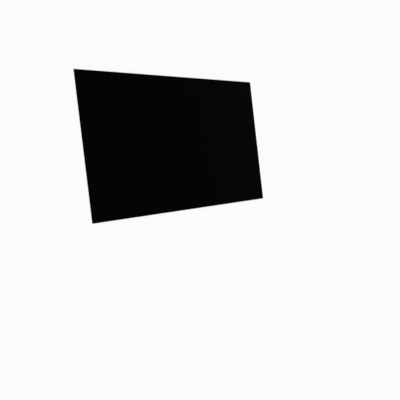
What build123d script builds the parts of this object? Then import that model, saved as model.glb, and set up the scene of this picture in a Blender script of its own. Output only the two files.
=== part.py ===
from build123d import *
import os

# Frameless privacy filter: one flat sheet of black louvred film, die cut to a wide rectangle.
# The sheet lies on its back face, at Z = 0, with the viewing face up.
# X runs along the width, and Y along the height, towards the top edge.
# The origin is under the middle of the sheet.

# Driving dimensions in millimetres

# Cut size of the sheet
sheet_width = 331.0
sheet_height = 207.0
sheet_thickness = 0.5

# Rounding of the four corners, seen from the front
corner_radius = 0.8

# The cutting rule enters at the viewing face and pulls that edge down into a small round
viewing_edge_radius = 0.12

# The rule breaks out at the back face and leaves a finer slanted edge
back_edge_bevel = 0.05


def cut_outline():
    """Flat outline that the cutting rule follows, centred on the origin."""
    return RectangleRounded(sheet_width, sheet_height, corner_radius)


def filter_sheet():
    """The whole sheet, with its cut edge finished on both faces, all the way round."""
    sheet = extrude(cut_outline(), amount=sheet_thickness)
    viewing_rim = sheet.edges().group_by(Axis.Z)[-1]
    sheet = fillet(viewing_rim, radius=viewing_edge_radius)
    back_rim = sheet.edges().group_by(Axis.Z)[0]
    return chamfer(back_rim, length=back_edge_bevel)


os.makedirs("parts", exist_ok=True)
export_step(filter_sheet(), "parts/filter_sheet.step")
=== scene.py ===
import math

import bpy
from mathutils import Matrix, Vector


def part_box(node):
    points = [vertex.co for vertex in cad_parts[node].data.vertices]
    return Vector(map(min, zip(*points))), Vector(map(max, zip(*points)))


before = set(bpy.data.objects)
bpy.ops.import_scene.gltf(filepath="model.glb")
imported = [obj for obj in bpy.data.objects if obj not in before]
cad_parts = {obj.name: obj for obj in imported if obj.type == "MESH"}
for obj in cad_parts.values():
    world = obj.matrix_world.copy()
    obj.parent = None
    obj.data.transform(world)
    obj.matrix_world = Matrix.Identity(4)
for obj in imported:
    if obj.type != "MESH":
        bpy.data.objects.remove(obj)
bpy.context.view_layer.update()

# A frameless privacy filter: one flat sheet of black louvred film, lying on its back face.
# All sizes are in metres, in the frame of the sheet: X along its width, Y towards its top edge.
sheet_low, sheet_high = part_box("filter_sheet")

# Upright louvres inside the film
louvre_pitch = 0.00010
louvre_slat = 0.00003
louvre_blur = 0.00001

# Faint upright bands, left where the film was sliced from its block
slicing_band_size = (0.006, 0.180, 0.006)
slicing_band_octaves = 3.0
slicing_band_mean = 0.5

# Fine grain of the matte hard coat on the viewing face
matte_grain_size = (0.0001, 0.0001, 0.0001)
matte_grain_octaves = 1.0
matte_grain_depth = 0.000006

# Slow waves of a thin sheet that lies loose on a floor
sheet_wave_size = (0.030, 0.045, 0.030)
sheet_wave_octaves = 1.0
sheet_wave_depth = 0.0003

# How deep the finish of each face reaches into the rounded or slanted edge beside it
viewing_edge_depth = 0.00006
back_edge_depth = 0.00003

# Tones of the film, as shares of light
slat_tone = 0.0004
clear_film_tone = 0.0008
cut_slat_tone = 0.0020
cut_film_tone = 0.0150
slicing_tone_change = 0.35

# Roughness of the three finishes
viewing_face_roughness = 0.32
slicing_roughness_change = 0.08
back_face_roughness = 0.12
cut_edge_roughness = 0.45

# Reflection of the coated film
film_refraction = 1.49
film_reflection = 0.08

# Pale matte floor of the studio
floor_reach = 60.0
floor_tone = 0.95
floor_roughness = 1.0
floor_reflection = 0.0

# Light tent round the sheet, as bright as the lit floor
tent_glow = 0.97

# Black flag in the tent, which the face mirrors and so stays dark. Compass angles count from +X to +Y.
flag_compass = math.radians(10)
flag_height = math.radians(53)
flag_core = math.radians(36)
flag_edge = math.radians(66)

# The flag ends above the pale band round the horizon
horizon_band_top = math.radians(20)
horizon_band_end = math.radians(32)

# One wide lamp that stands behind the left edge of the sheet and fills up the floor's light
lamp_compass = math.radians(180)
lamp_height = math.radians(60)
lamp_spread = math.radians(70)
lamp_light = 0.486

# Camera that sees the lying sheet as the photograph shows it
camera_place = Vector((-0.4352, -0.0737, 0.5722))
picture_centre = Vector((0.0218, -0.0913, sheet_high.z))
camera_roll = math.radians(-6.63)
camera_lens = 41.5


def join(tree, value, socket):
    """Links a socket to another node's output, or sets it to a plain number."""
    if isinstance(value, bpy.types.NodeSocket):
        tree.links.new(value, socket)
    else:
        socket.default_value = value


def calculate(tree, operation, *terms):
    """One step of arithmetic."""
    node = tree.nodes.new("ShaderNodeMath")
    node.operation = operation
    for socket, term in zip(node.inputs, terms):
        join(tree, term, socket)
    return node.outputs["Value"]


def soft_step(tree, value, start, end):
    """Rises from 0 at start to 1 at end, with soft ends."""
    node = tree.nodes.new("ShaderNodeMapRange")
    node.interpolation_type = "SMOOTHSTEP"
    join(tree, value, node.inputs["Value"])
    node.inputs["From Min"].default_value = start
    node.inputs["From Max"].default_value = end
    return node.outputs["Result"]


def blend(tree, share, low, high):
    """low where share is 0, and high where it is 1."""
    step = calculate(tree, "SUBTRACT", high, low)
    return calculate(tree, "MULTIPLY_ADD", share, step, low)


def split_axes(tree, place):
    """The X, Y and Z of a place or direction, by name."""
    node = tree.nodes.new("ShaderNodeSeparateXYZ")
    tree.links.new(place, node.inputs["Vector"])
    return node.outputs


def stretched_noise(tree, place, size, octaves):
    """Smooth noise with cells of that size along X, Y and Z."""
    mapping = tree.nodes.new("ShaderNodeMapping")
    mapping.inputs["Scale"].default_value = [1.0 / side for side in size]
    tree.links.new(place, mapping.inputs["Vector"])
    noise = tree.nodes.new("ShaderNodeTexNoise")
    noise.inputs["Scale"].default_value = 1.0
    noise.inputs["Detail"].default_value = octaves
    tree.links.new(mapping.outputs["Vector"], noise.inputs["Vector"])
    return noise.outputs["Fac"]


def relief(tree, share, height, depth, under=None):
    """Surface normal of a relief with that depth, where share is 1, on top of another relief."""
    bump = tree.nodes.new("ShaderNodeBump")
    bump.inputs["Distance"].default_value = depth
    tree.links.new(share, bump.inputs["Strength"])
    tree.links.new(height, bump.inputs["Height"])
    if under:
        tree.links.new(under, bump.inputs["Normal"])
    return bump.outputs["Normal"]


def grey(tone):
    """Neutral colour of that tone."""
    return tone, tone, tone, 1.0


def new_material(name):
    """A new material and its main shader."""
    material = bpy.data.materials.new(name)
    material.use_nodes = True
    return material, material.node_tree.nodes["Principled BSDF"]


def louvred_film():
    """Black film with upright louvres inside, a matte viewing face, a glossier back and a dull cut edge."""
    material, shader = new_material("louvred_film")
    tree = material.node_tree
    place = tree.nodes.new("ShaderNodeTexCoord").outputs["Object"]
    axes = split_axes(tree, place)

    # Shares of the two faces, by height in the sheet
    viewing_share = soft_step(tree, axes["Z"], sheet_high.z - viewing_edge_depth, sheet_high.z)
    back_share = soft_step(tree, axes["Z"], sheet_low.z + back_edge_depth, sheet_low.z)
    face_share = calculate(tree, "MAXIMUM", viewing_share, back_share)

    # A slat stands at each whole pitch, with clear film between two slats
    from_slat = calculate(tree, "PINGPONG", axes["X"], louvre_pitch / 2)
    slat_edge = louvre_slat / 2
    clear_share = soft_step(tree, from_slat, slat_edge - louvre_blur / 2, slat_edge + louvre_blur / 2)

    bands = stretched_noise(tree, place, slicing_band_size, slicing_band_octaves)
    band_change = calculate(tree, "SUBTRACT", bands, slicing_band_mean)

    # Tone of the faces, and of the edge where the cut lays the slats open
    band_level = calculate(tree, "MULTIPLY_ADD", band_change, slicing_tone_change, 1.0)
    plain_tone = blend(tree, clear_share, slat_tone, clear_film_tone)
    face_tone = calculate(tree, "MULTIPLY", plain_tone, band_level)
    cut_tone = blend(tree, clear_share, cut_slat_tone, cut_film_tone)
    tree.links.new(blend(tree, face_share, cut_tone, face_tone), shader.inputs["Base Color"])

    # Roughness of the cut edge, then of the viewing face over it, then of the back face over both
    viewing_roughness = calculate(
        tree, "MULTIPLY_ADD", band_change, slicing_roughness_change, viewing_face_roughness
    )
    front_roughness = blend(tree, viewing_share, cut_edge_roughness, viewing_roughness)
    roughness = blend(tree, back_share, front_roughness, back_face_roughness)
    tree.links.new(roughness, shader.inputs["Roughness"])

    # Slow waves of the viewing face, with the grain of its coat on them
    waves = stretched_noise(tree, place, sheet_wave_size, sheet_wave_octaves)
    grain = stretched_noise(tree, place, matte_grain_size, matte_grain_octaves)
    wavy_face = relief(tree, viewing_share, waves, sheet_wave_depth)
    coated_face = relief(tree, viewing_share, grain, matte_grain_depth, wavy_face)
    tree.links.new(coated_face, shader.inputs["Normal"])

    shader.inputs["IOR"].default_value = film_refraction
    shader.inputs["Specular IOR Level"].default_value = film_reflection
    return material


def pale_floor():
    """Plain matte material of the floor."""
    material, shader = new_material("pale_floor")
    shader.inputs["Base Color"].default_value = grey(floor_tone)
    shader.inputs["Roughness"].default_value = floor_roughness
    shader.inputs["Specular IOR Level"].default_value = floor_reflection
    return material


def studio_floor():
    """Wide floor that the sheet lies on."""
    signs = [(-1, -1), (1, -1), (1, 1), (-1, 1)]
    corners = [(x * floor_reach, y * floor_reach, sheet_low.z) for x, y in signs]
    mesh = bpy.data.meshes.new("studio_floor")
    mesh.from_pydata(corners, [], [(0, 1, 2, 3)])
    mesh.materials.append(pale_floor())
    floor = bpy.data.objects.new("studio_floor", mesh)
    bpy.context.scene.collection.objects.link(floor)


def direction(compass, height):
    """Unit vector towards a compass angle and a height angle."""
    level = math.cos(height)
    return Vector((level * math.cos(compass), level * math.sin(compass), math.sin(height)))


def studio_tent():
    """Evenly lit tent round the sheet, with a soft black flag above the pale band of its horizon."""
    world = bpy.data.worlds.new("studio_tent")
    world.use_nodes = True
    tree = world.node_tree
    outwards = tree.nodes.new("ShaderNodeTexCoord").outputs["Generated"]
    towards_flag = tree.nodes.new("ShaderNodeVectorMath")
    towards_flag.operation = "DOT_PRODUCT"
    tree.links.new(outwards, towards_flag.inputs[0])
    towards_flag.inputs[1].default_value = direction(flag_compass, flag_height)
    beside_flag = soft_step(tree, towards_flag.outputs["Value"], math.cos(flag_core), math.cos(flag_edge))
    upwards = split_axes(tree, outwards)["Z"]
    low_band = soft_step(tree, upwards, math.sin(horizon_band_end), math.sin(horizon_band_top))
    background = tree.nodes["Background"]
    background.inputs["Color"].default_value = grey(tent_glow)
    tree.links.new(calculate(tree, "MAXIMUM", beside_flag, low_band), background.inputs["Strength"])
    bpy.context.scene.world = world


def studio_lamp():
    """Wide soft lamp on the left, away from where the face would mirror it to the camera."""
    lamp = bpy.data.lights.new("side_lamp", "SUN")
    lamp.angle = lamp_spread
    lamp.energy = math.pi * lamp_light / math.sin(lamp_height)
    stand = bpy.data.objects.new("side_lamp", lamp)
    stand.rotation_euler = direction(lamp_compass, lamp_height).to_track_quat("Z", "Y").to_euler()
    bpy.context.scene.collection.objects.link(stand)


def photo_camera():
    """Camera that looks down on the sheet, turned so that the sheet's top edge is up in the picture."""
    towards_top_edge = Vector((0.0, 1.0, 0.0))
    forward = (picture_centre - camera_place).normalized()
    right = forward.cross(towards_top_edge).normalized()
    up = right.cross(forward)
    turn = Matrix((right, up, -forward)).transposed() @ Matrix.Rotation(camera_roll, 3, "Z")
    camera = bpy.data.objects.new("photo_camera", bpy.data.cameras.new("photo_camera"))
    camera.data.lens = camera_lens
    camera.matrix_world = Matrix.Translation(camera_place) @ turn.to_4x4()
    bpy.context.scene.collection.objects.link(camera)
    bpy.context.scene.camera = camera


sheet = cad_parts["filter_sheet"]
sheet.material_slots[0].material = louvred_film()

studio_floor()
studio_tent()
studio_lamp()
photo_camera()
bpy.context.scene.view_settings.view_transform = "Standard"
